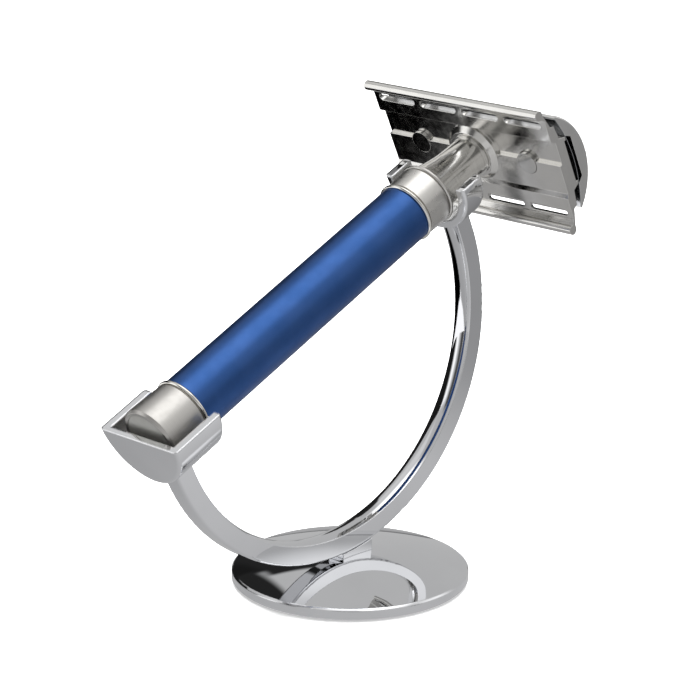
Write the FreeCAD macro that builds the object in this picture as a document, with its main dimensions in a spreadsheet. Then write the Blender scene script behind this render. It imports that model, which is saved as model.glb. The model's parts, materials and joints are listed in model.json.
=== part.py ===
"""Double-edge safety razor resting on its own stand, as a parametric document.

Millimetres, +Z up. The origin is the middle of the stand's foot, on the table. The arm of the
stand lies in the XZ plane, and the handle rises towards +X.

Every razor part is drawn in the handle's frame: its Z runs along the handle towards the head, its
Y is the length of the head and the world's Y, and its +X is the side that faces the stand.
"""

import FreeCAD, Part
import math
import os
import Sketcher

FULL_TURN = 360  # degrees
SAME_RADIUS = 0.001  # two radii closer than this are the same

SIZES = [
    # how the razor lies on the stand
    ("handle_tilt", 25, "rise of the handle above the level, degrees"),
    ("axis_height", 61.35, "height at which the handle's axis crosses the middle of the foot"),
    # head: levels are measured along the handle's axis
    ("head_length", 43, "length of the cap, the plate and the blade"),
    ("crown_radius", 12.8, "radius of the cap's round back"),
    ("crown_edge_level", 38.4, "level of the crown's long edges"),
    ("cap_half_width", 10.15, "half of the cap's width"),
    ("cap_lip_half_width", 9.9, "half width at the cap's pressing lips"),
    ("cap_hollow_level", 40.6, "level of the hollow's roof under the cap"),
    ("cap_hollow_half", 4.3, "half width of that roof"),
    ("cap_end_fillet", 0.3, "rounding of the cap's ends"),
    ("press_half_width", 5.2, "half width between the cap's inner pressing lines"),
    ("blade_radius", 26.2, "radius to which the clamped blade is bent"),
    ("blade_centre_level", 13.58, "level of the axis of that bend"),
    ("blade_thickness", 0.1, "blade thickness"),
    ("blade_half_width", 10.9, "half width of the bent blade"),
    ("blade_tab_half_width", 9.6, "half width of the blade's end tabs"),
    ("blade_tab_length", 2.6, "length of each end tab"),
    ("blade_slot_half", 1.0, "half width of the blade's long slot"),
    ("blade_slot_reach", 18.2, "half length of the blade's long slot"),
    ("cut_margin", 1, "how far cutting outlines reach past the metal"),
    ("blade_gap", 0.05, "clearance on each side of the blade"),
    ("stud_radius", 2.4, "radius of the cap's threaded stud"),
    ("stud_bottom", 26, "level of the stud's end"),
    ("stud_chamfer", 0.5, "chamfer of the stud's end"),
    ("stud_clearance", 0.05, "radial clearance of the stud in the neck"),
    ("plate_bore_radius", 2.6, "radius of the plate's middle bore"),
    ("blade_bore_radius", 3.0, "radius of the blade's middle hole"),
    ("pin_radius", 2.2, "radius of the two locating pins"),
    ("pin_offset", 13.3, "distance of the pins from the handle's axis"),
    ("pin_bottom", 35.75, "level of the pins' ends"),
    ("pin_clearance", 0.08, "radial clearance of the pins in the plate"),
    ("blade_pin_clearance", 0.2, "radial clearance of the pins in the blade"),
    ("plate_top", 38.7, "level of the plate's middle, under the blade"),
    ("rail_level", 39.15, "level of the plate's two rails, which carry the blade"),
    ("rail_inner", 4.4, "inner edge of the rails"),
    ("rail_outer", 5.1, "outer edge of the rails"),
    ("trough_level", 37.6, "level of the lather troughs beside the rails"),
    ("trough_inner", 5.7, "inner edge of the troughs"),
    ("trough_outer", 8.65, "outer edge of the troughs"),
    ("trough_outer_level", 37.2, "level of the troughs' outer edge"),
    ("wing_inner", 9.0, "inner edge of the thin wings"),
    ("wing_top", 36.3, "upper level of the wings"),
    ("wing_underside", 35.4, "lower level of the wings"),
    ("wing_underside_inner", 6.3, "inner edge of the wings' underside"),
    ("wing_underside_outer", 10.9, "outer edge of the wings' underside"),
    ("floor_half_width", 5.4, "half width of the channel under the plate"),
    ("floor_low", 35.85, "level of the channel's proud half"),
    ("floor_high", 36.5, "level of the channel's sunk half"),
    ("floor_step", 0.7, "distance of the step from the middle"),
    ("bar_radius", 0.95, "radius of the safety bars"),
    ("bar_offset", 12.55, "distance of the bars from the middle"),
    ("bar_level", 34.45, "level of the bars' axes"),
    ("bar_top_angle", 110, "where the wing's top meets the bar, degrees"),
    ("bar_under_angle", 170, "where the wing's underside meets the bar, degrees"),
    ("slot_offset", 9.55, "distance of the drain slots from the middle"),
    ("slot_half_width", 0.75, "half width of a drain slot"),
    ("slot_length", 9.1, "length of a drain slot"),
    ("slot_pitch", 10.5, "distance from one drain slot to the next"),
    ("slot_count", 4, "drain slots along each side"),
    ("boss_radius", 4.9, "radius of the plate's round boss at the neck"),
    ("boss_root_radius", 5.9, "radius of the boss where it leaves the plate"),
    ("boss_bottom", 35.0, "level of the boss's face"),
    # handle
    ("neck_top", 34.96, "level of the neck's face, just short of the boss"),
    ("neck_lip_radius", 4.35, "radius of the neck's lip"),
    ("neck_lip_height", 0.4, "height of the neck's lip"),
    ("neck_end_radius", 4.0, "radius of the waist's upper end"),
    ("neck_foot_radius", 5.3, "radius of the waist's lower end"),
    ("neck_waist_curve", 45, "radius of the waist's hollow curve"),
    ("neck_shoulder", 22.2, "level of the neck's shoulder on the collar"),
    ("neck_bore_bottom", 24.6, "level of the threaded bore's end"),
    ("spigot_radius", 2.5, "radius of the neck's spigot"),
    ("spigot_bottom", 8, "level of the spigot's end, inside the core"),
    ("collar_bottom", 15.9, "level of the collar's lower face"),
    ("collar_groove_radius", 5.3, "radius of the collar's grooves"),
    ("collar_low_radius", 5.75, "radius of the collar's lower end"),
    ("collar_high_radius", 5.95, "radius of the collar's upper end"),
    ("collar_bead_radius", 6.15, "radius of the collar's top bead"),
    ("collar_bead_height", 0.75, "height of that bead"),
    ("groove_height", 0.3, "height of each thin groove"),
    ("sleeve_radius", 5.6, "outer radius of the coloured sleeve"),
    ("sleeve_bore", 4.7, "inner radius of the sleeve"),
    ("sleeve_top", 15.2, "level of the sleeve's upper end"),
    ("sleeve_bottom", -45.0, "level of the sleeve's lower end"),
    ("sleeve_chamfer", 0.15, "chamfer of the sleeve's ends"),
    ("ring_radius", 6.05, "outer radius of the two bead rings"),
    ("ring_height", 0.7, "height of the two bead rings"),
    ("core_radius", 4.0, "radius of the solid core"),
    ("tail_radius", 2.5, "radius of the core's threaded tail"),
    ("tail_bottom", -51.5, "level of the tail's end"),
    ("seal_section", 0.33, "radius of a sealing ring's section"),
    ("seal_inset", 3, "distance of a sealing ring from the sleeve's end"),
    ("end_cap_bottom", -54.1, "level of the end cap's rim"),
    ("end_cap_radius", 6.05, "largest radius of the end cap"),
    ("end_cap_neck_radius", 5.75, "radius of the end cap beside its bead ring"),
    ("end_cap_chamfer", 0.45, "chamfer of the end cap's rim"),
    ("end_disc_radius", 5.0, "radius of the disc that closes the end cap"),
    ("end_disc_inset", 0.1, "how far that disc is sunk"),
    ("end_disc_thickness", 0.9, "thickness of that disc"),
    # stand
    ("rest_radius", 9.85, "outer radius of the cradle and the saddle"),
    ("rest_rise", 2.0, "how far their axis lies above the handle's"),
    ("hollow_radius", 8.1, "inner radius of the cradle and the saddle"),
    ("hollow_rise", 1.93, "how far the hollow's axis lies above the handle's"),
    ("rest_fillet", 0.6, "rounding of the cradle and the saddle"),
    ("cradle_bottom", -56.4, "level of the cradle's closed end"),
    ("cradle_length", 11.4, "length of the cradle"),
    ("cradle_rim", 1.5, "how far the cradle's rim lies above the handle's axis"),
    ("cradle_end_wall", 1.2, "thickness of the cradle's closed end"),
    ("saddle_bottom", 21.8, "level of the saddle's lower end"),
    ("saddle_length", 5.6, "length of the saddle"),
    ("saddle_rim", 2.3, "how far the saddle's tips lie above the handle's axis"),
    ("arm_outer_radius", 40.85, "outer radius of the round arm"),
    ("arm_depth", 4.3, "radial depth of the arm"),
    ("arm_width", 4.0, "width of the arm"),
    ("arm_centre_x", -6.9, "middle of the arm's circle, along X"),
    ("arm_centre_z", 46.8, "middle of the arm's circle, above the table"),
    ("arm_crown", 0.55, "how far the arm's inner face bulges"),
    ("arm_round", 0.5, "rounding of the arm's outer edges"),
    ("arm_start_angle", 190, "where the arm starts, in the cradle, degrees"),
    ("arm_sweep", 210, "how far round the arm runs, degrees"),
    ("foot_radius", 22.2, "radius of the round foot"),
    ("foot_bottom", 0.3, "height of the foot's metal edge above the table"),
    ("foot_edge_height", 2.1, "height of the foot's upright edge"),
    ("foot_chamfer", 0.35, "chamfer of the foot's edge"),
    ("foot_dome", 2.9, "rise of the foot's domed top"),
    ("pad_radius", 20.2, "radius of the pad under the foot"),
    ("pad_thickness", 1.1, "thickness of that pad"),
    ("screw_radius", 1.5, "radius of the foot screw's shank"),
    ("screw_head_radius", 2.9, "radius of its countersunk head"),
    ("screw_head_height", 1.4, "height of that head"),
    ("screw_top", 9.4, "level of the screw's end, inside the arm"),
    ("screw_drive_radius", 0.9, "radius of the screw's drive socket"),
    ("screw_drive_depth", 0.8, "depth of the drive socket"),
    ("pedestal_length", 7.6, "length of the block between foot and arm"),
]

document = FreeCAD.newDocument("SafetyRazor")
sheet = document.addObject("Spreadsheet::Sheet", "Sizes")
for row, (alias, number, meaning) in enumerate(SIZES, start=1):
    sheet.set(f"A{row}", meaning)
    sheet.set(f"B{row}", str(number))
    sheet.setAlias(f"B{row}", alias)
document.recompute()


class Size:
    """A number together with the expression that binds it to the sheet."""

    def __init__(self, value, text):
        self.value = float(value)
        self.text = text

    def __add__(self, other):
        other = as_size(other)
        return Size(self.value + other.value, f"({self.text} + {other.text})")

    def __sub__(self, other):
        other = as_size(other)
        return Size(self.value - other.value, f"({self.text} - {other.text})")

    def __mul__(self, other):
        other = as_size(other)
        return Size(self.value * other.value, f"({self.text} * {other.text})")

    def __truediv__(self, other):
        other = as_size(other)
        return Size(self.value / other.value, f"({self.text} / {other.text})")

    def __neg__(self):
        return Size(-self.value, f"(-{self.text})")


def as_size(number):
    return number if isinstance(number, Size) else Size(number, str(number))


def root(size):
    return Size(math.sqrt(size.value), f"sqrt({size.text})")


def cosine(size):
    return Size(math.cos(math.radians(size.value)), f"cos({size.text} * 1 deg)")


def sine(size):
    return Size(math.sin(math.radians(size.value)), f"sin({size.text} * 1 deg)")


NUMBERS = {alias: number for alias, number, meaning in SIZES}


def cell(alias):
    """The size kept in the sheet under this name."""
    return Size(NUMBERS[alias], f"Sizes.{alias}")


ZERO = as_size(0)


# ---------------------------------------------------------------- drawing helpers


def new_body(label):
    body = document.addObject("PartDesign::Body", label)
    body.Label = label
    return body


def origin_plane(body, role):
    return next(plane for plane in body.Origin.OriginFeatures if plane.Role == role)


def new_sketch(body, role, height=ZERO):
    """A sketch on one of the body's own planes, or above it at a height."""
    sketch = body.newObject("Sketcher::SketchObject", body.Name + "_sketch")
    sketch.AttachmentSupport = [(origin_plane(body, role), "")]
    sketch.MapMode = "FlatFace"
    sketch.setExpression("AttachmentOffset.Base.z", height.text)
    return sketch


def bind(sketch, kind, places, size):
    index = sketch.addConstraint(Sketcher.Constraint(kind, *places, size.value))
    sketch.setExpression(f"Constraints[{index}]", size.text)


def pin_point(sketch, geometry, end, x, y):
    """Holds one end of a line or arc at a place given by two sizes."""
    for kind, size, axis in (("DistanceX", x, -2), ("DistanceY", y, -1)):
        if size.value == 0:
            sketch.addConstraint(Sketcher.Constraint("PointOnObject", geometry, end, axis))
        else:
            bind(sketch, kind, (-1, 1, geometry, end), size)


def arc_between(start, end, radius):
    """The short arc from start to end, anticlockwise where the radius is positive."""
    chord = end - start
    middle = (start + end) * 0.5
    left = FreeCAD.Vector(-chord.y, chord.x, 0).normalize()
    reach = math.sqrt(radius * radius - chord.Length * chord.Length / 4)
    centre = middle + left * math.copysign(reach, radius)
    first, last = (start, end) if radius > 0 else (end, start)
    angles = [math.atan2(point.y - centre.y, point.x - centre.x) for point in (first, last)]
    circle = Part.Circle(centre, FreeCAD.Vector(0, 0, 1), abs(radius))
    return Part.ArcOfCircle(circle, *angles)


def bulge_radius(half, rise):
    """Radius of the arc that spans twice the half width and rises this far in its middle."""
    return half * half / (rise * 2) + rise / 2


def draw_outline(sketch, corners):
    """A closed outline. A corner is (x, y), or (x, y, radius) where an arc leads to it."""
    ends = []
    for index, corner in enumerate(corners):
        before = corners[index - 1]
        start = FreeCAD.Vector(before[0].value, before[1].value, 0)
        end = FreeCAD.Vector(corner[0].value, corner[1].value, 0)
        if len(corner) == 3:
            radius = corner[2]
            geometry = sketch.addGeometry(arc_between(start, end, radius.value))
            size = radius if radius.value > 0 else -radius
            bind(sketch, "Radius", (geometry,), size)
            ends.append((geometry, 1, 2) if radius.value > 0 else (geometry, 2, 1))
        else:
            geometry = sketch.addGeometry(Part.LineSegment(start, end))
            ends.append((geometry, 1, 2))
    for index, corner in enumerate(corners):
        geometry, first, last = ends[index]
        following, opening = ends[(index + 1) % len(ends)][:2]
        joint = Sketcher.Constraint("Coincident", geometry, last, following, opening)
        sketch.addConstraint(joint)
        pin_point(sketch, geometry, last, corner[0], corner[1])


def draw_circle(sketch, x, y, radius):
    centre = FreeCAD.Vector(x.value, y.value, 0)
    circle = Part.Circle(centre, FreeCAD.Vector(0, 0, 1), radius.value)
    geometry = sketch.addGeometry(circle)
    pin_point(sketch, geometry, 3, x, y)
    bind(sketch, "Radius", (geometry,), radius)


def revolve(body, corners, kind="Revolution"):
    """Turns an outline of (radius, level) corners about the body's Z."""
    sketch = new_sketch(body, "XZ_Plane")
    draw_outline(sketch, corners)
    feature = body.newObject("PartDesign::" + kind, body.Name + "_turned")
    feature.Profile = sketch
    feature.ReferenceAxis = (sketch, ["V_Axis"])
    feature.Angle = FULL_TURN
    return feature


def pad_across(body, corners, length):
    """Stretches an outline of (x, level) corners evenly to both sides along Y."""
    sketch = new_sketch(body, "XZ_Plane")
    draw_outline(sketch, corners)
    feature = body.newObject("PartDesign::Pad", body.Name + "_pad")
    feature.Profile = sketch
    feature.SideType = "Symmetric"
    feature.setExpression("Length", length.text)
    return feature


def pocket_through(body, sketch):
    """Cuts a sketch on the XY plane right through, both ways."""
    feature = body.newObject("PartDesign::Pocket", body.Name + "_pocket")
    feature.Profile = sketch
    feature.SideType = "Symmetric"
    feature.Type = "ThroughAll"
    return feature


def fillet_edges(body, radius, wanted):
    """Rounds the edges of the body's last feature that the test picks."""
    document.recompute()
    tip = body.Tip
    names = [f"Edge{number}" for number, edge in enumerate(tip.Shape.Edges, start=1) if wanted(edge)]
    feature = body.newObject("PartDesign::Fillet", body.Name + "_round")
    feature.Base = (tip, names)
    feature.setExpression("Radius", radius.text)
    return feature


def lay_on_handle(item):
    """Moves an item drawn in the handle's frame to where the handle lies on the stand."""
    axis = FreeCAD.Vector(0, 1, 0)
    item.Placement = FreeCAD.Placement(FreeCAD.Vector(0, 0, 0), FreeCAD.Rotation(axis, 1))
    item.setExpression("Placement.Rotation.Angle", "90 deg - Sizes.handle_tilt * 1 deg")
    item.setExpression("Placement.Base.z", "Sizes.axis_height")


def mirrored(corners):
    """An outline whose left half mirrors the right half, given from top middle to bottom middle."""
    left = []
    for index in range(len(corners) - 1, -1, -1):
        x, y = corners[index][:2]
        following = corners[index + 1] if index + 1 < len(corners) else (x, y)
        arc = following[2:]
        left.append((-x, y, *arc))
    return list(corners) + left


def cylinder(name, radius, height):
    item = document.addObject("Part::Cylinder", name)
    item.setExpression("Radius", radius.text)
    item.setExpression("Height", height.text)
    return item


NODES = []


def keep(item, label=None):
    """Adds an item to the list of pieces that are written out."""
    if label:
        item.Label = label
    NODES.append(item)
    return item


# ---------------------------------------------------------------- head


def blade_face(half_width, offset):
    """Level, at this distance from the middle, of a face parallel to the bent blade."""
    radius = cell("blade_radius") + offset
    return cell("blade_centre_level") + root(radius * radius - half_width * half_width)


def make_cap():
    body = new_body("cap")
    edge = cell("cap_half_width")
    lip = cell("cap_lip_half_width")
    press = cell("press_half_width")
    offset = cell("blade_thickness") / 2 + cell("blade_gap")
    crown_level = cell("crown_edge_level")
    roof = cell("cap_hollow_level")
    hollow = cell("cap_hollow_half")
    under = cell("blade_radius") + offset
    corners = [
        (edge, crown_level),
        (-edge, crown_level, cell("crown_radius")),
        (-lip, blade_face(lip, offset)),
        (-press, blade_face(press, offset), -under),
        (-hollow, roof),
        (hollow, roof),
        (press, blade_face(press, offset)),
        (lip, blade_face(lip, offset), -under),
    ]
    pad_across(body, corners, cell("head_length"))
    crown = NUMBERS["crown_radius"]
    fillet_edges(body, cell("cap_end_fillet"), lambda edge: is_arc(edge, crown))
    lay_on_handle(body)
    return keep(body)


def is_arc(edge, radius):
    curve = edge.Curve
    return isinstance(curve, Part.Circle) and abs(curve.Radius - radius) < SAME_RADIUS


def make_cap_stud():
    body = new_body("cap_stud")
    radius = cell("stud_radius")
    bottom = cell("stud_bottom")
    chamfer = cell("stud_chamfer")
    roof = cell("cap_hollow_level")
    corners = [
        (ZERO, bottom),
        (radius - chamfer, bottom),
        (radius, bottom + chamfer),
        (radius, roof),
        (ZERO, roof),
    ]
    revolve(body, corners)
    lay_on_handle(body)
    return keep(body)


def make_cap_pin(label, side):
    """One of the posts that keep cap, blade and plate in line."""
    pin = cylinder(label, cell("pin_radius"), cell("cap_hollow_level") - cell("pin_bottom"))
    pin.Label = label
    lay_on_handle(pin)
    tilt = cell("handle_tilt")
    level = cell("pin_bottom")
    pin.setExpression("Placement.Base.x", (level * cosine(tilt)).text)
    pin.setExpression("Placement.Base.y", (cell("pin_offset") * side).text)
    pin.setExpression("Placement.Base.z", (cell("axis_height") + level * sine(tilt)).text)
    return keep(pin)


def make_blade():
    body = new_body("blade")
    width = cell("blade_half_width")
    half = cell("blade_thickness") / 2
    outer = cell("blade_radius") + half
    inner = cell("blade_radius") - half
    corners = [
        (width, blade_face(width, half)),
        (-width, blade_face(width, half), outer),
        (-width, blade_face(width, -half)),
        (width, blade_face(width, -half), -inner),
    ]
    pad_across(body, corners, cell("head_length"))
    slot = new_sketch(body, "XY_Plane")
    draw_outline(slot, blade_slot_outline())
    pocket_through(body, slot)
    tabs = new_sketch(body, "XY_Plane")
    tab = cell("blade_tab_half_width")
    end = cell("head_length") / 2
    start = end - cell("blade_tab_length")
    beyond = width + cell("cut_margin")
    past = end + cell("cut_margin")
    for across in (-1, 1):
        for along in (-1, 1):
            square = [
                (tab * across, start * along),
                (beyond * across, start * along),
                (beyond * across, past * along),
                (tab * across, past * along),
            ]
            draw_outline(tabs, square)
    pocket_through(body, tabs)
    lay_on_handle(body)
    return keep(body)


def blade_slot_outline():
    """The blade's long slot with its three round holes: up its right side and down its left."""
    half = cell("blade_slot_half")
    reach = cell("blade_slot_reach")
    offset = cell("pin_offset")
    pin_hole = cell("pin_radius") + cell("blade_pin_clearance")
    holes = [(-offset, pin_hole), (ZERO, cell("blade_bore_radius")), (offset, pin_hole)]
    corners = []
    for side in (1, -1):
        x = half * side
        corners.append((x, -reach * side))
        for centre, radius in holes:
            turn = root(radius * radius - half * half)
            corners.append((x, (centre - turn) * side))
            corners.append((x, (centre + turn) * side, radius))
        corners.append((x, reach * side))
    return corners


def plate_outline():
    """The plate's section across its length, both safety bars included."""
    bar = cell("bar_radius")
    bar_x = cell("bar_offset")
    bar_z = cell("bar_level")
    top = cell("bar_top_angle")
    under = cell("bar_under_angle")
    high = cell("floor_high")
    low = cell("floor_low")
    step = cell("floor_step")
    right = [
        (cell("rail_inner"), cell("plate_top")),
        (cell("rail_inner"), cell("rail_level")),
        (cell("rail_outer"), cell("rail_level")),
        (cell("trough_inner"), cell("trough_level")),
        (cell("trough_outer"), cell("trough_outer_level")),
        (cell("wing_inner"), cell("wing_top")),
        (bar_x + bar * cosine(top), bar_z + bar * sine(top)),
        (bar_x + bar, bar_z, -bar),
        (bar_x, bar_z - bar, -bar),
        (bar_x + bar * cosine(under), bar_z + bar * sine(under), -bar),
        (cell("wing_underside_outer"), cell("wing_underside")),
        (cell("wing_underside_inner"), cell("wing_underside")),
    ]
    whole = mirrored(right)
    middle = len(right)
    floor = [
        (cell("floor_half_width"), low),
        (-step, low),
        (-step, high),
        (-cell("floor_half_width"), high),
    ]
    return whole[:middle] + floor + whole[middle:]


def make_base_plate():
    body = new_body("base_plate")
    pad_across(body, plate_outline(), cell("head_length"))
    boss = cell("boss_radius")
    bottom = cell("boss_bottom")
    foot = cell("boss_root_radius")
    inside = cell("floor_high") + cell("floor_step")
    corners = [(ZERO, bottom), (boss, bottom), (foot, cell("floor_low")), (foot, inside), (ZERO, inside)]
    revolve(body, corners)
    holes = new_sketch(body, "XY_Plane")
    draw_circle(holes, ZERO, ZERO, cell("plate_bore_radius"))
    hole = cell("pin_radius") + cell("pin_clearance")
    for side in (-1, 1):
        draw_circle(holes, ZERO, cell("pin_offset") * side, hole)
    pocket_through(body, holes)
    slots = new_sketch(body, "XY_Plane")
    half = cell("slot_half_width")
    reach = cell("slot_length") / 2 - half
    for across in (-1, 1):
        x = cell("slot_offset") * across
        for number in range(NUMBERS["slot_count"]):
            y = cell("slot_pitch") * number - cell("slot_pitch") * (cell("slot_count") - 1) / 2
            draw_slot(slots, x, y, half, reach)
    pocket_through(body, slots)
    lay_on_handle(body)
    return keep(body)


def draw_slot(sketch, x, y, half, reach):
    """A slot along Y with round ends, each end drawn as two quarter circles."""
    corners = [
        (x + half, y + reach),
        (x, y + reach + half, half),
        (x - half, y + reach, half),
        (x - half, y - reach),
        (x, y - reach - half, half),
        (x + half, y - reach, half),
    ]
    draw_outline(sketch, corners)


# ---------------------------------------------------------------- handle


def make_neck():
    body = new_body("neck")
    top = cell("neck_top")
    lip = cell("neck_lip_radius")
    end = cell("neck_end_radius")
    shoulder = cell("neck_shoulder")
    spigot = cell("spigot_radius")
    bore = cell("stud_radius") + cell("stud_clearance")
    corners = [
        (ZERO, cell("spigot_bottom")),
        (spigot, cell("spigot_bottom")),
        (spigot, shoulder),
        (cell("neck_foot_radius"), shoulder),
        (end, top - cell("neck_lip_height"), -cell("neck_waist_curve")),
        (lip, top - cell("neck_lip_height")),
        (lip, top),
        (bore, top),
        (bore, cell("neck_bore_bottom")),
        (ZERO, cell("neck_bore_bottom")),
    ]
    revolve(body, corners)
    lay_on_handle(body)
    return keep(body)


def make_upper_collar():
    body = new_body("upper_collar")
    bottom = cell("collar_bottom")
    top = cell("neck_shoulder")
    groove = cell("collar_groove_radius")
    gap = cell("groove_height")
    bead = cell("collar_bead_height")
    bead_radius = cell("collar_bead_radius")
    corners = [
        (cell("spigot_radius"), bottom),
        (groove, bottom),
        (groove, bottom + gap),
        (cell("collar_low_radius"), bottom + gap),
        (cell("collar_high_radius"), top - bead - gap),
        (groove + gap, top - bead - gap),
        (groove + gap, top - bead),
        (bead_radius - gap, top - bead),
        (bead_radius - gap, top, bulge_radius(bead / 2, gap)),
        (cell("spigot_radius"), top),
    ]
    revolve(body, corners)
    lay_on_handle(body)
    return keep(body)


def make_bead_ring(label, bottom):
    """A thin polished ring with a rounded rim."""
    body = new_body(label)
    height = cell("ring_height")
    bulge = cell("groove_height")
    radius = cell("ring_radius") - bulge
    corners = [
        (cell("core_radius"), bottom),
        (radius, bottom),
        (radius, bottom + height, bulge_radius(height / 2, bulge)),
        (cell("core_radius"), bottom + height),
    ]
    revolve(body, corners)
    lay_on_handle(body)
    return keep(body)


def make_grip_sleeve():
    body = new_body("grip_sleeve")
    radius = cell("sleeve_radius")
    chamfer = cell("sleeve_chamfer")
    bottom = cell("sleeve_bottom")
    top = cell("sleeve_top")
    corners = [
        (cell("sleeve_bore"), bottom),
        (radius - chamfer, bottom),
        (radius, bottom + chamfer),
        (radius, top - chamfer),
        (radius - chamfer, top),
        (cell("sleeve_bore"), top),
    ]
    revolve(body, corners)
    lay_on_handle(body)
    return keep(body)


def make_handle_core():
    body = new_body("handle_core")
    radius = cell("core_radius")
    tail = cell("tail_radius")
    bottom = cell("sleeve_bottom") - cell("ring_height")
    top = cell("collar_bottom")
    corners = [
        (ZERO, cell("tail_bottom")),
        (tail, cell("tail_bottom")),
        (tail, bottom),
        (radius, bottom),
        (radius, top),
        (cell("spigot_radius"), top),
        (cell("spigot_radius"), cell("spigot_bottom")),
        (ZERO, cell("spigot_bottom")),
    ]
    revolve(body, corners)
    lay_on_handle(body)
    return keep(body)


def make_seal_ring(label, level):
    """A rubber ring that centres the sleeve on the core and keeps water out."""
    seal = document.addObject("Part::Torus", label)
    seal.Label = label
    middle = (cell("core_radius") + cell("sleeve_bore")) / 2
    seal.setExpression("Radius1", middle.text)
    seal.setExpression("Radius2", cell("seal_section").text)
    lay_on_handle(seal)
    tilt = cell("handle_tilt")
    seal.setExpression("Placement.Base.x", (level * cosine(tilt)).text)
    seal.setExpression("Placement.Base.z", (cell("axis_height") + level * sine(tilt)).text)
    return keep(seal)


def make_end_cap():
    body = new_body("end_cap")
    top = cell("sleeve_bottom") - cell("ring_height")
    bottom = cell("end_cap_bottom")
    radius = cell("end_cap_radius")
    chamfer = cell("end_cap_chamfer")
    disc = cell("end_disc_radius")
    seat = bottom + cell("end_disc_inset") + cell("end_disc_thickness")
    gap = cell("groove_height")
    corners = [
        (cell("tail_radius"), seat),
        (disc, seat),
        (disc, bottom),
        (radius - chamfer, bottom),
        (radius, bottom + chamfer),
        (cell("end_cap_neck_radius"), top - gap),
        (cell("collar_groove_radius"), top - gap),
        (cell("collar_groove_radius"), top),
        (cell("tail_radius"), top),
    ]
    revolve(body, corners)
    lay_on_handle(body)
    return keep(body)


def make_end_disc():
    body = new_body("end_disc")
    bottom = cell("end_cap_bottom") + cell("end_disc_inset")
    top = bottom + cell("end_disc_thickness")
    radius = cell("end_disc_radius")
    corners = [(ZERO, bottom), (radius, bottom), (radius, top), (ZERO, top)]
    revolve(body, corners)
    lay_on_handle(body)
    return keep(body)


# ---------------------------------------------------------------- stand


def draw_trough_section(sketch, radius, rise, rim):
    """The part below the rim of a circle whose middle lies above the handle's axis."""
    drop = rise - rim
    half = root(radius * radius - drop * drop)
    corners = [
        (-rim, -half),
        (radius - rise, ZERO, radius),
        (-rim, half, radius),
    ]
    draw_outline(sketch, corners)


def make_rest(label, bottom, length, wall_at_bottom, rim):
    """A half-round rest about the handle: the cradle has a closed end, the saddle is open."""
    body = new_body(label)
    outside = new_sketch(body, "XY_Plane", bottom)
    draw_trough_section(outside, cell("rest_radius"), cell("rest_rise"), rim)
    block = body.newObject("PartDesign::Pad", label + "_block")
    block.Profile = outside
    block.setExpression("Length", length.text)
    inside = new_sketch(body, "XY_Plane", bottom + wall_at_bottom)
    draw_trough_section(inside, cell("hollow_radius"), cell("hollow_rise"), rim)
    hollow = body.newObject("PartDesign::Pocket", label + "_hollow")
    hollow.Profile = inside
    hollow.Reversed = True
    hollow.Type = "ThroughAll"
    outer = NUMBERS["rest_radius"]
    fillet_edges(body, cell("rest_fillet"), lambda edge: is_arc(edge, outer))
    lay_on_handle(body)
    return keep(body)


def rest_room(label, bottom, length):
    """A whole cylinder with the outside of a rest, which the arm's end is cut to."""
    room = cylinder(label, cell("rest_radius"), length)
    lay_on_handle(room)
    tilt = cell("handle_tilt")
    rise = cell("rest_rise")
    room.setExpression("Placement.Base.x", (bottom * cosine(tilt) - rise * sine(tilt)).text)
    lifted = cell("axis_height") + bottom * sine(tilt) + rise * cosine(tilt)
    room.setExpression("Placement.Base.z", lifted.text)
    return room


def make_arm():
    """The round arm: a section turned about its circle's axis, its ends cut to the two rests."""
    body = new_body("arm_bar")
    outer = cell("arm_outer_radius")
    inner = outer - cell("arm_depth")
    half = cell("arm_width") / 2
    crown = cell("arm_crown")
    rounding = cell("arm_round")
    bulge = bulge_radius(half, crown)
    sketch = new_sketch(body, "XZ_Plane")
    corners = [
        (inner + crown, half),
        (inner, ZERO, bulge),
        (inner + crown, -half, bulge),
        (outer - rounding, -half),
        (outer, rounding - half, rounding),
        (outer, half - rounding),
        (outer - rounding, half, rounding),
    ]
    draw_outline(sketch, corners)
    turned = body.newObject("PartDesign::Revolution", "arm_turned")
    turned.Profile = sketch
    turned.ReferenceAxis = (sketch, ["V_Axis"])
    turned.setExpression("Angle", "Sizes.arm_sweep * 1 deg")
    stand_up = FreeCAD.Rotation(FreeCAD.Vector(1, 0, 0), 90)
    turn = FreeCAD.Rotation(FreeCAD.Vector(0, 0, 1), NUMBERS["arm_start_angle"])
    body.Placement = FreeCAD.Placement(FreeCAD.Vector(0, 0, 0), stand_up.multiply(turn))
    body.setExpression("Placement.Base.x", "Sizes.arm_centre_x")
    body.setExpression("Placement.Base.z", "Sizes.arm_centre_z")
    tools = [
        rest_room("cradle_room", cell("cradle_bottom"), cell("cradle_length")),
        rest_room("saddle_room", cell("saddle_bottom"), cell("saddle_length") + cell("arm_depth")),
        cylinder("screw_room", cell("screw_radius"), cell("screw_top")),
    ]
    joined = document.addObject("Part::MultiFuse", "arm_tools")
    joined.Shapes = tools
    arm = document.addObject("Part::Cut", "arc_arm")
    arm.Base = body
    arm.Tool = joined
    return keep(arm, "arc_arm")


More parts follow.
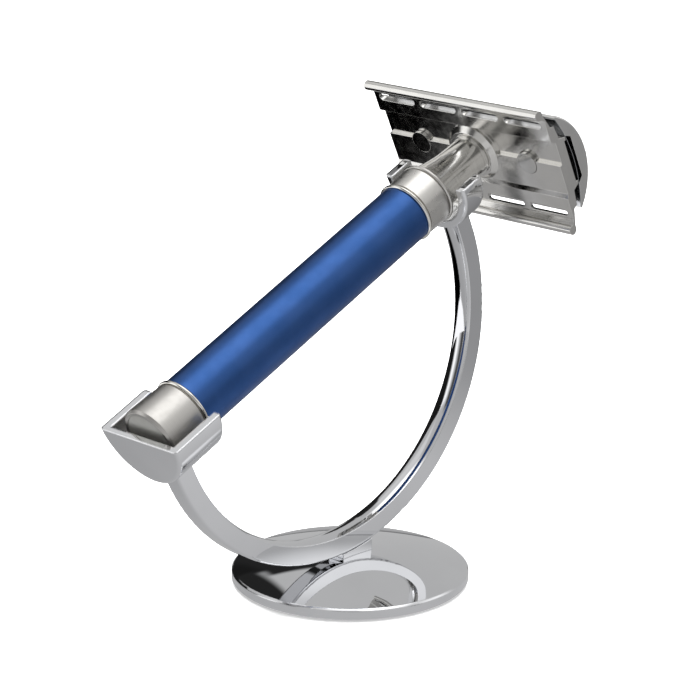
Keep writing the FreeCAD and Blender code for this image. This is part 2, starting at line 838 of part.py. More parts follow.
def make_base_disc():
    """The round foot: an upright edge, a domed top and a recess for the pad."""
    body = new_body("base_disc")
    bottom = cell("foot_bottom")
    edge = cell("foot_radius")
    chamfer = cell("foot_chamfer")
    shoulder = bottom + cell("foot_edge_height")
    recess = cell("pad_thickness")
    pad = cell("pad_radius")
    dome = cell("foot_dome")
    flat = edge - chamfer
    curve = bulge_radius(flat, dome)
    shank = cell("screw_radius")
    near_top = shoulder + dome - curve + root(curve * curve - shank * shank)
    corners = [
        (shank, recess + cell("screw_head_height")),
        (cell("screw_head_radius"), recess),
        (pad, recess),
        (pad, bottom),
        (edge - chamfer, bottom),
        (edge, bottom + chamfer),
        (edge, shoulder - chamfer),
        (flat, shoulder),
        (shank, near_top, curve),
    ]
    revolve(body, corners)
    return keep(body)


def make_base_pad():
    pad = cylinder("base_pad", cell("pad_radius"), cell("pad_thickness"))
    return keep(pad, "base_pad")


def make_base_screw():
    """The countersunk screw that ties foot, pedestal and arm together, with its drive socket."""
    body = new_body("base_screw")
    bottom = cell("pad_thickness")
    shank = cell("screw_radius")
    socket = cell("screw_drive_radius")
    depth = cell("screw_drive_depth")
    corners = [
        (ZERO, bottom + depth),
        (socket, bottom + depth),
        (socket, bottom),
        (cell("screw_head_radius"), bottom),
        (shank, bottom + cell("screw_head_height")),
        (shank, cell("screw_top")),
        (ZERO, cell("screw_top")),
    ]
    revolve(body, corners)
    return keep(body)


def make_pedestal(foot):
    """The small block between foot and arm, shaped to both."""
    length = cell("pedestal_length")
    width = cell("arm_width")
    block = document.addObject("Part::Box", "pedestal_block")
    low = cell("foot_bottom") + cell("foot_edge_height") + cell("foot_dome") / 2
    block.setExpression("Length", length.text)
    block.setExpression("Width", width.text)
    block.setExpression("Height", (cell("screw_top") - low).text)
    block.setExpression("Placement.Base.x", (-length / 2).text)
    block.setExpression("Placement.Base.y", (-width / 2).text)
    block.setExpression("Placement.Base.z", low.text)
    ring = cylinder("arm_room", cell("arm_outer_radius"), width * 2)
    side = FreeCAD.Rotation(FreeCAD.Vector(1, 0, 0), 90)
    ring.Placement = FreeCAD.Placement(FreeCAD.Vector(0, 0, 0), side)
    ring.setExpression("Placement.Base.x", "Sizes.arm_centre_x")
    ring.setExpression("Placement.Base.y", width.text)
    ring.setExpression("Placement.Base.z", "Sizes.arm_centre_z")
    shank = cylinder("shank_room", cell("screw_radius"), cell("screw_top"))
    joined = document.addObject("Part::MultiFuse", "pedestal_tools")
    joined.Shapes = [ring, shank, foot]
    pedestal = document.addObject("Part::Cut", "pedestal")
    pedestal.Base = block
    pedestal.Tool = joined
    return keep(pedestal, "pedestal")


# ---------------------------------------------------------------- the whole razor and its stand


def build_model():
    make_cap()
    make_cap_stud()
    make_cap_pin("cap_pin_near", -1)
    make_cap_pin("cap_pin_far", 1)
    make_blade()
    make_base_plate()
    make_neck()
    make_upper_collar()
    make_bead_ring("collar_bead_ring", cell("sleeve_top"))
    make_grip_sleeve()
    make_handle_core()
    make_seal_ring("upper_seal_ring", cell("sleeve_top") - cell("seal_inset"))
    make_seal_ring("lower_seal_ring", cell("sleeve_bottom") + cell("seal_inset"))
    make_bead_ring("lower_bead_ring", cell("sleeve_bottom") - cell("ring_height"))
    make_end_cap()
    make_end_disc()
    length = cell("cradle_length")
    make_rest("cradle", cell("cradle_bottom"), length, cell("cradle_end_wall"), cell("cradle_rim"))
    make_rest("saddle", cell("saddle_bottom"), cell("saddle_length"), ZERO, cell("saddle_rim"))
    make_arm()
    foot = make_base_disc()
    make_base_pad()
    make_base_screw()
    make_pedestal(foot)


def check_model():
    """Stops with a message if any object failed or any piece is not one sound solid."""
    for item in document.Objects:
        if {"Invalid", "Error"} & set(item.State):
            raise RuntimeError(f"{item.Name} failed: {item.State}")
    for node in NODES:
        shape = node.Shape
        if shape.isNull() or not shape.isValid() or len(shape.Solids) != 1:
            raise RuntimeError(f"{node.Label} is not one valid solid")


def write_parts():
    os.makedirs("parts", exist_ok=True)
    for node in NODES:
        node.Shape.exportStep(f"parts/{node.Label}.step")


build_model()
document.recompute()
check_model()
write_parts()
for node in NODES:
    box = node.Shape.BoundBox
    print(f"{node.Label}: {node.Shape.Volume:.1f} mm3, {box.XMin:.2f} {box.YMin:.2f} {box.ZMin:.2f}"
          f" to {box.XMax:.2f} {box.YMax:.2f} {box.ZMax:.2f}")
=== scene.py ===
"""Double-edge safety razor on its chromed stand: materials, fine detail, studio light and camera."""

import json
import math
from typing import NamedTuple

import bmesh
import bpy
from mathutils import Matrix, Vector


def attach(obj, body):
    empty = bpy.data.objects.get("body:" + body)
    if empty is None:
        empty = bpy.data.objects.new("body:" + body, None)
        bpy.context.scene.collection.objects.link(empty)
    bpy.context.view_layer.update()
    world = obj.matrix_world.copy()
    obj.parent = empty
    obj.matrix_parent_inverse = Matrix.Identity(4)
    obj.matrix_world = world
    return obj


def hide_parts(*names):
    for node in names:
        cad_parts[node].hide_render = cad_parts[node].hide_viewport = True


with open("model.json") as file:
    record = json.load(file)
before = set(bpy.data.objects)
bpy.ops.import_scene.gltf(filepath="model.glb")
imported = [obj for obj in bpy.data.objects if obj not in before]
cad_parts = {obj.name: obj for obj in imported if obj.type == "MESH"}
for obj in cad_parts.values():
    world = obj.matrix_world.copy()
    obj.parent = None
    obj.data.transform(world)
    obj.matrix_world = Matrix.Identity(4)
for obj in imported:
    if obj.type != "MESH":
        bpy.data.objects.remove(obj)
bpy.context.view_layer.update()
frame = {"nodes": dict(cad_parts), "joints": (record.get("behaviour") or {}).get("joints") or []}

MM = 0.001  # metres
FULL_TURN = 2 * math.pi
X = (1, 0, 0)
Y = (0, 1, 0)
LEVEL_PART = (1, 1, 0)  # what is left of a vector without its height
WHITE = (1, 1, 1, 1)

NODES = frame["nodes"]
JOINTS = {joint["name"]: joint for joint in frame["joints"]}
HANDLE_AXIS = Vector(JOINTS["head_turn"]["axis"]).normalized()
HANDLE_UP = Vector(JOINTS["razor_lift"]["axis"]).normalized()
HANDLE_SIDE = HANDLE_AXIS.cross(HANDLE_UP)
AXIS_POINT = Vector(JOINTS["head_turn"]["pos_m"])


# ---------------------------------------------------------------- node helpers

NOISE_SPREAD = (0.3, 0.7)  # where nearly all values of a noise lie
LINE_DETAIL = 4.0
STREAK_DETAIL = 3.0
BEVEL_SAMPLES = 6
EDGE_TURN = (0.8, 0.99)  # cosine between rounded and flat normal: fully an edge, no edge
WEAR_PATCHES = (0.4, 0.6)  # values of the noise over which wear sets in
WEAR_COVER = (0.2, 0.9)  # amount of wear over which the worn colour takes over


class Graph:
    """Adds nodes to one node tree and links them."""

    def __init__(self, tree):
        self.tree = tree

    def add(self, kind, **settings):
        node = self.tree.nodes.new(kind)
        for name, value in settings.items():
            setattr(node, name, value)
        return node

    def feed(self, socket, source):
        """Gives a socket a link or, where the source is a plain number, that number."""
        if isinstance(source, bpy.types.NodeSocket):
            self.tree.links.new(source, socket)
        else:
            socket.default_value = source

    def math(self, operation, first, second=0.0):
        node = self.add("ShaderNodeMath", operation=operation)
        self.feed(node.inputs[0], first)
        self.feed(node.inputs[1], second)
        return node.outputs[0]

    def map(self, value, low, high, start=0.0, end=1.0, smooth=True):
        """Goes from start to end while the value goes from low to high."""
        node = self.add("ShaderNodeMapRange", interpolation_type="SMOOTHSTEP" if smooth else "LINEAR")
        self.feed(node.inputs["Value"], value)
        node.inputs["From Min"].default_value = low
        node.inputs["From Max"].default_value = high
        node.inputs["To Min"].default_value = start
        node.inputs["To Max"].default_value = end
        return node.outputs["Result"]

    def left_over(self, share):
        """What a share leaves of the whole."""
        return self.math("SUBTRACT", 1.0, share)


class Material(Graph):
    """A node material built around one Principled shader."""

    def __init__(self, name, color, roughness, metallic=1.0):
        self.material = bpy.data.materials.new(name)
        self.material.use_nodes = True
        super().__init__(self.material.node_tree)
        self.shader = self.tree.nodes["Principled BSDF"]
        self.color = color
        self.shader.inputs["Base Color"].default_value = (*color, 1)
        self.shader.inputs["Roughness"].default_value = roughness
        self.shader.inputs["Metallic"].default_value = metallic
        self.place = self.add("ShaderNodeTexCoord").outputs["Object"]
        self.normal = None

    def along(self, direction, origin=(0, 0, 0)):
        """Distance in millimetres along a direction, measured from a point of the object."""
        shifted = self.add("ShaderNodeVectorMath", operation="SUBTRACT")
        self.feed(shifted.inputs[0], self.place)
        shifted.inputs[1].default_value = origin
        dot = self.add("ShaderNodeVectorMath", operation="DOT_PRODUCT")
        self.feed(dot.inputs[0], shifted.outputs[0])
        dot.inputs[1].default_value = Vector(direction) / MM
        return dot.outputs["Value"]

    def noise(self, size_mm, detail=3.0):
        """Even noise whose grains are about this many millimetres across."""
        node = self.add("ShaderNodeTexNoise")
        self.feed(node.inputs["Vector"], self.place)
        node.inputs["Scale"].default_value = 1 / (size_mm * MM)
        node.inputs["Detail"].default_value = detail
        return node.outputs["Fac"]

    def lines(self, position, width_mm):
        """Noise in one direction only, for the fine lines of turning."""
        node = self.add("ShaderNodeTexNoise", noise_dimensions="1D")
        self.feed(node.inputs["W"], position)
        node.inputs["Scale"].default_value = 1 / width_mm
        node.inputs["Detail"].default_value = LINE_DETAIL
        return node.outputs["Fac"]

    def streaks(self, direction, length_mm, width_mm):
        """Noise stretched along one direction."""
        axis = Vector(direction).normalized()
        side = axis.orthogonal().normalized()
        third = axis.cross(side)
        join = self.add("ShaderNodeCombineXYZ")
        for socket, way, size in zip(join.inputs, (axis, side, third), (length_mm, width_mm, width_mm)):
            self.feed(socket, self.math("MULTIPLY", self.along(way), 1 / size))
        node = self.add("ShaderNodeTexNoise")
        self.feed(node.inputs["Vector"], join.outputs[0])
        node.inputs["Scale"].default_value = 1.0
        node.inputs["Detail"].default_value = STREAK_DETAIL
        return node.outputs["Fac"]

    def rough(self, value, low, high):
        """Lets the roughness wander between two values with a noise."""
        self.feed(self.shader.inputs["Roughness"], self.map(value, *NOISE_SPREAD, low, high))

    def tint(self, value, other, limits=NOISE_SPREAD):
        """Mixes a second colour into the first where the value is high."""
        mix = self.add("ShaderNodeMix", data_type="RGBA")
        self.feed(mix.inputs["Factor"], self.map(value, *limits))
        source = self.shader.inputs["Base Color"]
        if source.is_linked:
            self.feed(mix.inputs["A"], source.links[0].from_socket)
        else:
            mix.inputs["A"].default_value = (*self.color, 1)
        mix.inputs["B"].default_value = (*other, 1)
        self.feed(source, mix.outputs["Result"])

    def soft_edges(self, radius_mm, worn=None):
        """Rounds the edges in the shading, and rubs them to another colour where a noise allows."""
        bevel = self.add("ShaderNodeBevel", samples=BEVEL_SAMPLES)
        bevel.inputs["Radius"].default_value = radius_mm * MM
        self.normal = bevel.outputs["Normal"]
        self.feed(self.shader.inputs["Normal"], self.normal)
        if worn:
            flat = self.add("ShaderNodeNewGeometry").outputs["True Normal"]
            dot = self.add("ShaderNodeVectorMath", operation="DOT_PRODUCT")
            self.feed(dot.inputs[0], self.normal)
            self.feed(dot.inputs[1], flat)
            edge = self.map(dot.outputs["Value"], *EDGE_TURN, start=1.0, end=0.0)
            patches = self.map(self.noise(size_mm=0.8, detail=4.0), *WEAR_PATCHES)
            self.tint(self.math("MULTIPLY", edge, patches), worn, WEAR_COVER)

    def bump(self, height, depth_mm, strength):
        node = self.add("ShaderNodeBump")
        node.inputs["Strength"].default_value = strength
        node.inputs["Distance"].default_value = depth_mm * MM
        self.feed(node.inputs["Height"], height)
        if self.normal:
            self.feed(node.inputs["Normal"], self.normal)
        self.normal = node.outputs["Normal"]
        self.feed(self.shader.inputs["Normal"], self.normal)


# ---------------------------------------------------------------- materials

# linear colours: the stand's chrome, and the warmer nickel of the razor's own parts
CHROME = (0.775, 0.78, 0.795)
CHROME_WIPED = (0.745, 0.75, 0.765)
CHROME_WORN = (0.86, 0.865, 0.875)
CAP_NICKEL = (0.74, 0.735, 0.72)
PLATE_NICKEL = (0.72, 0.71, 0.685)
PIN_NICKEL = (0.66, 0.655, 0.635)
PLATING_WORN = (0.84, 0.835, 0.81)
NECK_NICKEL = (0.70, 0.69, 0.665)
COLLAR_NICKEL = (0.70, 0.685, 0.655)
# painted shade: the end cap's colour is the collar's satin nickel made darker
END_CAP_SHADED_NICKEL = (0.575, 0.56, 0.535)
END_DISC_NICKEL = (0.72, 0.715, 0.68)
RING_NICKEL = (0.80, 0.785, 0.74)
STUD_NICKEL = (0.62, 0.615, 0.60)
BRASS = (0.60, 0.45, 0.20)
BLUE = (0.044, 0.11, 0.315)
BLUE_WORN = (0.07, 0.14, 0.32)
BLUE_CLOUD = (0.034, 0.096, 0.288)
BLUE_GRAIN = (0.045, 0.115, 0.33)
BLADE_STEEL = (0.62, 0.63, 0.65)
BLADE_EDGE = (0.86, 0.87, 0.89)
RUBBER = (0.016, 0.016, 0.017)
RUBBER_DUST = (0.03, 0.03, 0.031)
ZINC = (0.50, 0.51, 0.52)
ZINC_DULL = (0.42, 0.43, 0.45)

CLOUD_SHADE = 0.94  # brightness of a plating's clouds against its own colour
RING_SHADE = 0.9  # brightness of a lathe ring against its own colour
WEAR_SHINE = 1.18  # brightness of a turned part's worn edge against its own colour
RING_TINT = (0.35, 0.75)  # values of the ring noise over which its darker colour sets in
GRAIN_TINT = (0.55, 0.8)  # values of the grain noise over which its paler colour sets in
BLADE_GRIND = (9.9, 10.15)  # distance from the blade's middle over which its ground edge begins, mm

# name, colour, roughness range, edge radius in mm, nodes
PLATED_PARTS = [
    ("cap_plating", CAP_NICKEL, (0.07, 0.12), 0.12, ["cap"]),
    ("plate_plating", PLATE_NICKEL, (0.13, 0.2), 0.14, ["base_plate"]),
    ("pin_plating", PIN_NICKEL, (0.10, 0.16), 0.08, ["cap_pin_near", "cap_pin_far"]),
]
# name, colour, roughness range, then ring width, ring depth and edge radius in mm, nodes
TURNED_PARTS = [
    ("neck_plating", NECK_NICKEL, (0.10, 0.16), 0.5, 0.004, 0.1, ["neck"]),
    ("collar_satin", COLLAR_NICKEL, (0.27, 0.34), 0.09, 0.003, 0.1, ["upper_collar"]),
    # the end cap: the collar's satin nickel, with painted shade darkening its colour
    ("end_cap_shaded_satin", END_CAP_SHADED_NICKEL, (0.33, 0.41), 0.09, 0.003, 0.1, ["end_cap"]),
    ("disc_satin", END_DISC_NICKEL, (0.5, 0.58), 0.3, 0.002, 0.1, ["end_disc"]),
    ("ring_polish", RING_NICKEL, (0.06, 0.1), 0.2, 0.002, 0.06, ["collar_bead_ring", "lower_bead_ring"]),
    ("core_brass", BRASS, (0.2, 0.3), 0.15, 0.006, 0.1, ["handle_core"]),
]


def shade(color, factor):
    """A colour made darker or brighter, with no part above 1."""
    return tuple(min(1.0, part * factor) for part in color)


def make_chrome(name, edge_mm):
    """Mirror plating: nearly perfect, with a faint wander of the surface and light wiping marks."""
    chrome = Material(name, CHROME, roughness=0.03)
    chrome.soft_edges(edge_mm, CHROME_WORN)
    chrome.bump(chrome.noise(size_mm=7.0, detail=1.0), depth_mm=0.003, strength=0.3)
    chrome.rough(chrome.noise(size_mm=3.0, detail=4.0), low=0.008, high=0.035)
    chrome.tint(chrome.noise(size_mm=12.0, detail=2.0), CHROME_WIPED)
    return chrome.material


def make_plated(name, color, rough, edge_mm):
    """Bright plating over a cast part: softer than the stand, with fine streaks along the head."""
    low, high = rough
    plated = Material(name, color, low)
    plated.soft_edges(edge_mm, PLATING_WORN)
    streaks = plated.streaks(Y, length_mm=9.0, width_mm=0.14)
    plated.bump(streaks, depth_mm=0.003, strength=0.35)
    plated.rough(plated.noise(size_mm=1.6, detail=4.0), low, high)
    plated.tint(plated.noise(size_mm=5.0), shade(color, CLOUD_SHADE))
    return plated.material


def make_turned(name, color, rough, ring_mm, depth_mm, edge_mm):
    """Metal turned in a lathe: fine rings about the handle's axis."""
    low, high = rough
    turned = Material(name, color, low)
    turned.soft_edges(edge_mm, shade(color, WEAR_SHINE))
    rings = turned.lines(turned.along(HANDLE_AXIS, AXIS_POINT), ring_mm)
    turned.bump(rings, depth_mm, strength=0.5)
    turned.rough(turned.noise(size_mm=0.9, detail=4.0), low, high)
    turned.tint(rings, shade(color, RING_SHADE), RING_TINT)
    return turned.material


def make_anodised():
    """Satin blue anodising: fine blasted grain, slight clouds and paler worn edges."""
    blue = Material("blue_anodised", BLUE, roughness=0.37, metallic=0.97)
    blue.soft_edges(radius_mm=0.15, worn=BLUE_WORN)
    grain = blue.noise(size_mm=0.11)
    blue.bump(grain, depth_mm=0.004, strength=0.5)
    blue.rough(blue.noise(size_mm=2.2, detail=5.0), low=0.35, high=0.4)
    blue.tint(blue.noise(size_mm=6.0), BLUE_CLOUD)
    blue.tint(grain, BLUE_GRAIN, GRAIN_TINT)
    return blue.material


def make_blade_steel():
    """Stropped blade steel: brushed along its length, with bright ground edges."""
    steel = Material("blade_steel", BLADE_STEEL, roughness=0.2)
    steel.bump(steel.streaks(Y, length_mm=14.0, width_mm=0.05), depth_mm=0.003, strength=0.5)
    steel.rough(steel.noise(size_mm=1.2), low=0.16, high=0.27)
    across = steel.math("ABSOLUTE", steel.along(HANDLE_UP, AXIS_POINT))
    steel.tint(across, BLADE_EDGE, BLADE_GRIND)
    return steel.material


def make_rubber(name, ring_mm):
    """Matt black rubber with a pebbled face and moulded rings about the middle of the foot."""
    rubber = Material(name, RUBBER, roughness=0.72, metallic=0.0)
    rubber.shader.inputs["Specular IOR Level"].default_value = 0.35
    flat = rubber.add("ShaderNodeVectorMath", operation="MULTIPLY")
    rubber.feed(flat.inputs[0], rubber.place)
    flat.inputs[1].default_value = LEVEL_PART
    reach = rubber.add("ShaderNodeVectorMath", operation="LENGTH")
    rubber.feed(reach.inputs[0], flat.outputs[0])
    turns = rubber.math("MULTIPLY", reach.outputs["Value"], FULL_TURN / (ring_mm * MM))
    rubber.bump(rubber.math("SINE", turns), depth_mm=0.12, strength=0.6)
    rubber.bump(rubber.noise(size_mm=0.25), depth_mm=0.03, strength=0.6)
    rubber.tint(rubber.noise(size_mm=4.0), RUBBER_DUST)
    return rubber.material


def make_zinc():
    """Zinc-plated screw steel: slightly mottled and satin."""
    zinc = Material("screw_steel", ZINC, roughness=0.32)
    zinc.soft_edges(radius_mm=0.08)
    zinc.bump(zinc.noise(size_mm=0.2), depth_mm=0.004, strength=0.5)
    zinc.rough(zinc.noise(size_mm=0.8, detail=4.0), low=0.26, high=0.42)
    zinc.tint(zinc.noise(size_mm=1.5, detail=4.0), ZINC_DULL)
    return zinc.material


def give(material, names):
    """Puts one material on the whole of some CAD nodes."""
    for name in names:
        mesh = NODES[name].data
        mesh.materials.clear()
        mesh.materials.append(material)


def dress_stand():
    give(make_chrome("mirror_chrome", edge_mm=0.3), ["arc_arm", "base_disc", "pedestal"])
    give(make_chrome("cast_chrome", edge_mm=0.6), ["cradle", "saddle"])
    give(make_rubber("pad_rubber", ring_mm=1.6), ["base_pad"])
    give(make_zinc(), ["base_screw"])


def dress_head():
    for name, color, rough, edge_mm, nodes in PLATED_PARTS:
        give(make_plated(name, color, rough, edge_mm), nodes)
    give(make_blade_steel(), ["blade"])


def dress_handle():
    for name, color, rough, ring_mm, depth_mm, edge_mm, nodes in TURNED_PARTS:
        give(make_turned(name, color, rough, ring_mm, depth_mm, edge_mm), nodes)
    give(make_anodised(), ["grip_sleeve"])
    give(make_rubber("seal_rubber", ring_mm=2.4), ["upper_seal_ring", "lower_seal_ring"])


dress_stand()
dress_head()
dress_handle()


# ---------------------------------------------------------------- the stud's thread

THREAD_PITCH = 0.8 * MM
THREAD_DEPTH = 0.54  # of the pitch
CREST_START = 0.36  # parts of the pitch from one root to the next
CREST_END = 0.5
FLANK_END = 0.86
TURN_STEPS = 36


def reach_along(points, origin, direction):
    """Lowest and highest distance of some points along a direction from an origin."""
    distances = [(point - origin).dot(direction) for point in points]
    return min(distances), max(distances)


def radius_about(points, origin, direction):
    """Largest distance of some points from the line through an origin."""
    offsets = [(point - origin) - direction * (point - origin).dot(direction) for point in points]
    return max(offset.length for offset in offsets)


def about_handle(level, radius, step):
    """A place about the handle's axis, turned by some steps of a full turn."""
    angle = FULL_TURN * step / TURN_STEPS
    way = HANDLE_UP * math.cos(angle) + HANDLE_SIDE * math.sin(angle)
    return AXIS_POINT + HANDLE_AXIS * level + way * radius


def add_ridge(shape, low, high, root, outer):
    """The thread's ridge: its section carried up a screw line, growing and fading over one turn."""
    rise = THREAD_PITCH / TURN_STEPS
    profile = ((0.0, root), (CREST_START, outer), (CREST_END, outer), (FLANK_END, root), (1.0, root))
    count = int((high - low - THREAD_PITCH) / rise)
    previous = None
    for step in range(count + 1):
        fade = min(1.0, step / TURN_STEPS, (count - step) / TURN_STEPS)
        section = []
        for part, radius in profile:
            level = low + step * rise + part * THREAD_PITCH
            reach = root + (radius - root) * fade
            section.append(shape.verts.new(about_handle(level, reach, step)))
        if previous:
            for index in range(len(section) - 1):
                corners = (previous[index], previous[index + 1], section[index + 1], section[index])
                shape.faces.new(corners)
        previous = section


def add_closed_end(shape, low, high, radius):
    """A short closed cylinder, which shuts the thread at one of its ends."""
    lower = []
    upper = []
    for step in range(TURN_STEPS):
        lower.append(shape.verts.new(about_handle(low, radius, step)))
        upper.append(shape.verts.new(about_handle(high, radius, step)))
    for step in range(TURN_STEPS):
        after = (step + 1) % TURN_STEPS
        shape.faces.new((lower[step], lower[after], upper[after], upper[step]))
    shape.faces.new(lower[::-1])
    shape.faces.new(upper)


def make_thread(name, node, body):
    """A real screw thread in the place of a plain CAD stud, drawn from the stud's own size."""
    points = [Vector(vertex.co) for vertex in NODES[node].data.vertices]
    low, high = reach_along(points, AXIS_POINT, HANDLE_AXIS)
    outer = radius_about(points, AXIS_POINT, HANDLE_AXIS)
    root = outer - THREAD_PITCH * THREAD_DEPTH
    shape = bmesh.new()
    add_ridge(shape, low, high, root, outer)
    add_closed_end(shape, low, low + THREAD_PITCH, root)
    add_closed_end(shape, high - THREAD_PITCH, high, root)
    bmesh.ops.recalc_face_normals(shape, faces=shape.faces)
    mesh = bpy.data.meshes.new(name)
    shape.to_mesh(mesh)
    shape.free()
    for polygon in mesh.polygons:
        polygon.use_smooth = len(polygon.vertices) == 4
    piece = bpy.data.objects.new(name, mesh)
    bpy.context.collection.objects.link(piece)
    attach(piece, body)
    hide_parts(node)
    plating = make_turned("stud_plating", STUD_NICKEL, (0.16, 0.24), ring_mm=0.2, depth_mm=0.003,
                          edge_mm=0.1)
    mesh.materials.append(plating)


make_thread("stud_thread", "cap_stud", "cap")


# ---------------------------------------------------------------- table

TABLE_COLOR = (0.93, 0.93, 0.93)
TABLE_CLOUD = (0.92, 0.92, 0.92)
TABLE_CORNERS = ((-3, -3), (3, 3))  # metres
TABLE_HEIGHT = -0.02 * MM  # just clear of the pad's face
TABLE_GLOW = 0.3
CARD_CORNERS = ((-0.6, -0.9), (0.9, 0.5))  # metres
CARD_HEIGHT = -0.6 * MM
CARD_TINT = (1.0, 1.0, 1.01, 1)
CARD_SLOPE = (-90, 40, 0.68, 0.43)  # along y: from, to (mm), brightness there
CARD_FADE = (45, 140, 1.0, 0.5)  # along x: from, to (mm), share of that brightness left
DARK_FAR = (72, 82)  # y over which the card's black far part begins, mm
DARK_LEFT = (-60, -48)  # x over which the black begins, mm
DARK_RIGHT = (44, 58)  # x over which the black ends, mm
STRIP_LEVEL = 0.85  # brightness that is added on the left of the black


def flat_sheet(name, corners, height):
    """A level rectangle of the stage, between two opposite corners."""
    mesh = bpy.data.meshes.new(name)
    low, high = corners
    places = [(low[0], low[1]), (high[0], low[1]), (high[0], high[1]), (low[0], high[1])]
    mesh.from_pydata([(x, y, height) for x, y in places], [], [(0, 1, 2, 3)])
    sheet = bpy.data.objects.new(name, mesh)
    bpy.context.collection.objects.link(sheet)
    return sheet


def make_table():
    """The pale table. Mirror images don't show it: they show the grey card just under it."""
    table = flat_sheet("table", TABLE_CORNERS, TABLE_HEIGHT)
    paint = Material("pale_table", TABLE_COLOR, roughness=0.9, metallic=0.0)
    paint.shader.inputs["Specular IOR Level"].default_value = 0.1
    paint.tint(paint.noise(size_mm=60.0, detail=2.0), TABLE_CLOUD)
    paint.shader.inputs["Emission Color"].default_value = WHITE
    paint.shader.inputs["Emission Strength"].default_value = TABLE_GLOW
    table.data.materials.append(paint.material)
    table.visible_glossy = False


def make_card():
    """The grey card under the table, which is seen in mirror images only."""
    card = flat_sheet("grey_card", CARD_CORNERS, CARD_HEIGHT)
    grey = Material("card_grey", (0, 0, 0), roughness=1.0, metallic=0.0)
    x = grey.along(X)
    y = grey.along(Y)
    far = grey.map(y, *DARK_FAR)
    inward = grey.map(x, *DARK_LEFT)
    before_right = grey.left_over(grey.map(x, *DARK_RIGHT))
    dark = grey.math("MULTIPLY", grey.math("MULTIPLY", far, inward), before_right)
    strip = grey.math("MULTIPLY", far, grey.left_over(inward))
    level = grey.math("MULTIPLY", grey.map(y, *CARD_SLOPE, smooth=False), grey.map(x, *CARD_FADE))
    level = grey.math("MULTIPLY", level, grey.left_over(dark))
    level = grey.math("ADD", level, grey.math("MULTIPLY", strip, STRIP_LEVEL))
    grey.shader.inputs["Emission Color"].default_value = CARD_TINT
    grey.feed(grey.shader.inputs["Emission Strength"], level)
    grey.shader.inputs["Specular IOR Level"].default_value = 0.0
    card.data.materials.append(grey.material)
    card.visible_camera = False
    card.visible_diffuse = False
    card.visible_shadow = False


make_table()
make_card()


# ---------------------------------------------------------------- surroundings


class Window(NamedTuple):
    """A patch of the surroundings: its place and soft edge in degrees, and its brightness."""

    azimuth: tuple
    elevation: tuple
    soft: float
    level: float


ROOM_LEVEL = 0.54
# azimuth runs from +X to +Y, and the camera stands at -135; each window covers the ones above it
WINDOWS = [
    Window((-200, 200), (68, 120), 9, 2.1),  # soft box straight above
    Window((-120, -20), (55, 74), 6, 1.9),  # its near right side, which lights the handle's crest
    Window((-110, -66), (34, 54), 9, 0.8),  # wall on the near right
    Window((-62, -18), (15, 48), 10, 1.15),  # soft box on the right
    Window((54, 128), (-80, 27), 1.2, 0.012),  # black flag behind the stand, to the left
    Window((47, 57), (12, 30.5), 1.0, 0.02),  # its two steps, which the foot mirrors
    Window((57.6, 70), (25, 46), 1.0, 0.02),
    Window((68, 140), (38, 62), 4, 0.75),  # wall above the flag
    Window((126, 150), (-60, 30), 4, 1.3),  # bright gap on the left
    Window((156, 172), (-60, 36), 4, 0.08),  # thin dark screen on the near left
    Window((-78, -64), (-30, 20), 5, 0.03),  # thin dark screen on the near right
    Window((-64, -20), (-60, -8), 6, 0.3),  # dim ground on the right, beyond the table's card
    Window((-150, -122), (-5, 38), 7, 0.2),  # the dark side on which the camera stands
]


def between(graph, angle, limits, soft):
    """1 inside a range of an angle, fading to 0 over its soft edges."""
    low, high = limits
    begun = graph.map(angle, low - soft, low + soft)
    ended = graph.map(angle, high - soft, high + soft)
    return graph.math("MULTIPLY", begun, graph.left_over(ended))


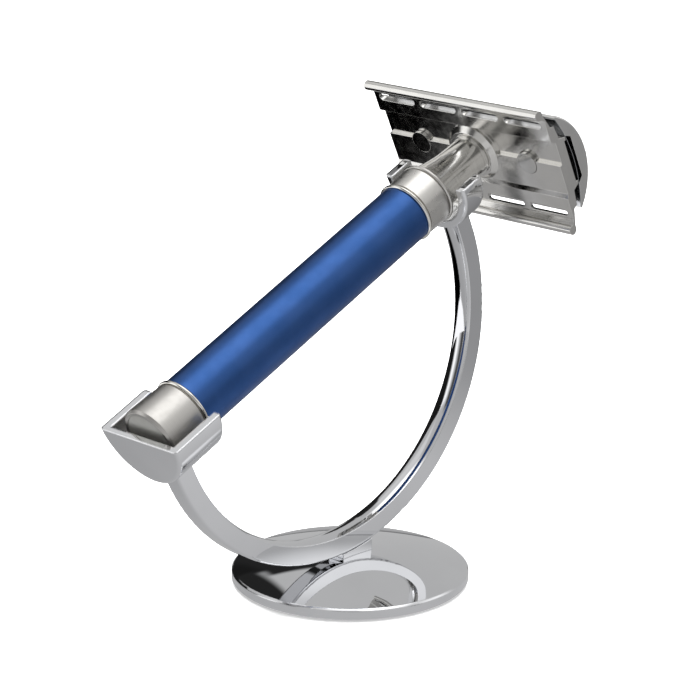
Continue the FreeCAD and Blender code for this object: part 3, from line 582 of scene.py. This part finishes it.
def make_world():
    """Studio surroundings by direction: soft boxes, walls and dark flags. The camera sees white."""
    world = bpy.data.worlds.new("studio")
    bpy.context.scene.world = world
    world.use_nodes = True
    room = Graph(world.node_tree)
    direction = room.add("ShaderNodeSeparateXYZ")
    room.feed(direction.inputs[0], room.add("ShaderNodeTexCoord").outputs["Generated"])
    x, y, z = direction.outputs
    azimuth = room.math("DEGREES", room.math("ARCTAN2", y, x))
    elevation = room.math("DEGREES", room.math("ARCSINE", z))
    level = ROOM_LEVEL
    for window in WINDOWS:
        wide = between(room, azimuth, window.azimuth, window.soft)
        tall = between(room, elevation, window.elevation, window.soft)
        patch = room.math("MULTIPLY", wide, tall)
        kept = room.math("MULTIPLY", level, room.left_over(patch))
        level = room.math("ADD", kept, room.math("MULTIPLY", patch, window.level))
    camera_ray = room.add("ShaderNodeLightPath").outputs["Is Camera Ray"]
    kept = room.math("MULTIPLY", level, room.left_over(camera_ray))
    background = world.node_tree.nodes["Background"]
    room.feed(background.inputs["Strength"], room.math("ADD", kept, camera_ray))
    background.inputs["Color"].default_value = WHITE


make_world()


# ---------------------------------------------------------------- lamp

LAMP_PLACE = Vector((0.2, 0.22, 0.65))
LAMP_SIZE = 0.8  # metres
LAMP_POWER = 10  # watts


def make_lamp():
    """A wide lamp above the far side, which lays the soft shadow and stays out of mirror images."""
    light = bpy.data.lights.new("overhead", "AREA")
    light.size = LAMP_SIZE
    light.energy = LAMP_POWER
    lamp = bpy.data.objects.new("overhead", light)
    bpy.context.collection.objects.link(lamp)
    lamp.location = LAMP_PLACE
    lamp.rotation_euler = (-LAMP_PLACE).to_track_quat("-Z", "Y").to_euler()
    lamp.visible_glossy = False


make_lamp()


# ---------------------------------------------------------------- camera

AZIMUTH = math.radians(-45.41)
ELEVATION = math.radians(16.24)
ROLL = math.radians(0.27)
PLACE = Vector((-0.3323, -0.3273, 0.1803))
FOCAL = 136.6  # mm
SENSOR = 36  # mm
CLIP_START = 0.01


def make_camera():
    right = Vector((math.cos(AZIMUTH), math.sin(AZIMUTH), 0))
    level_reach = math.cos(ELEVATION)
    forward = Vector((-math.sin(AZIMUTH) * level_reach, math.cos(AZIMUTH) * level_reach,
                      -math.sin(ELEVATION)))
    upward = right.cross(forward)
    turned_right = right * math.cos(ROLL) + upward * math.sin(ROLL)
    turned_up = upward * math.cos(ROLL) - right * math.sin(ROLL)
    camera = bpy.data.objects.new("camera", bpy.data.cameras.new("camera"))
    bpy.context.collection.objects.link(camera)
    camera.data.lens = FOCAL
    camera.data.sensor_width = SENSOR
    camera.data.clip_start = CLIP_START
    matrix = Matrix((turned_right, turned_up, -forward)).transposed().to_4x4()
    matrix.translation = PLACE
    camera.matrix_world = matrix
    bpy.context.scene.camera = camera
    bpy.context.scene.view_settings.view_transform = "Standard"


make_camera()
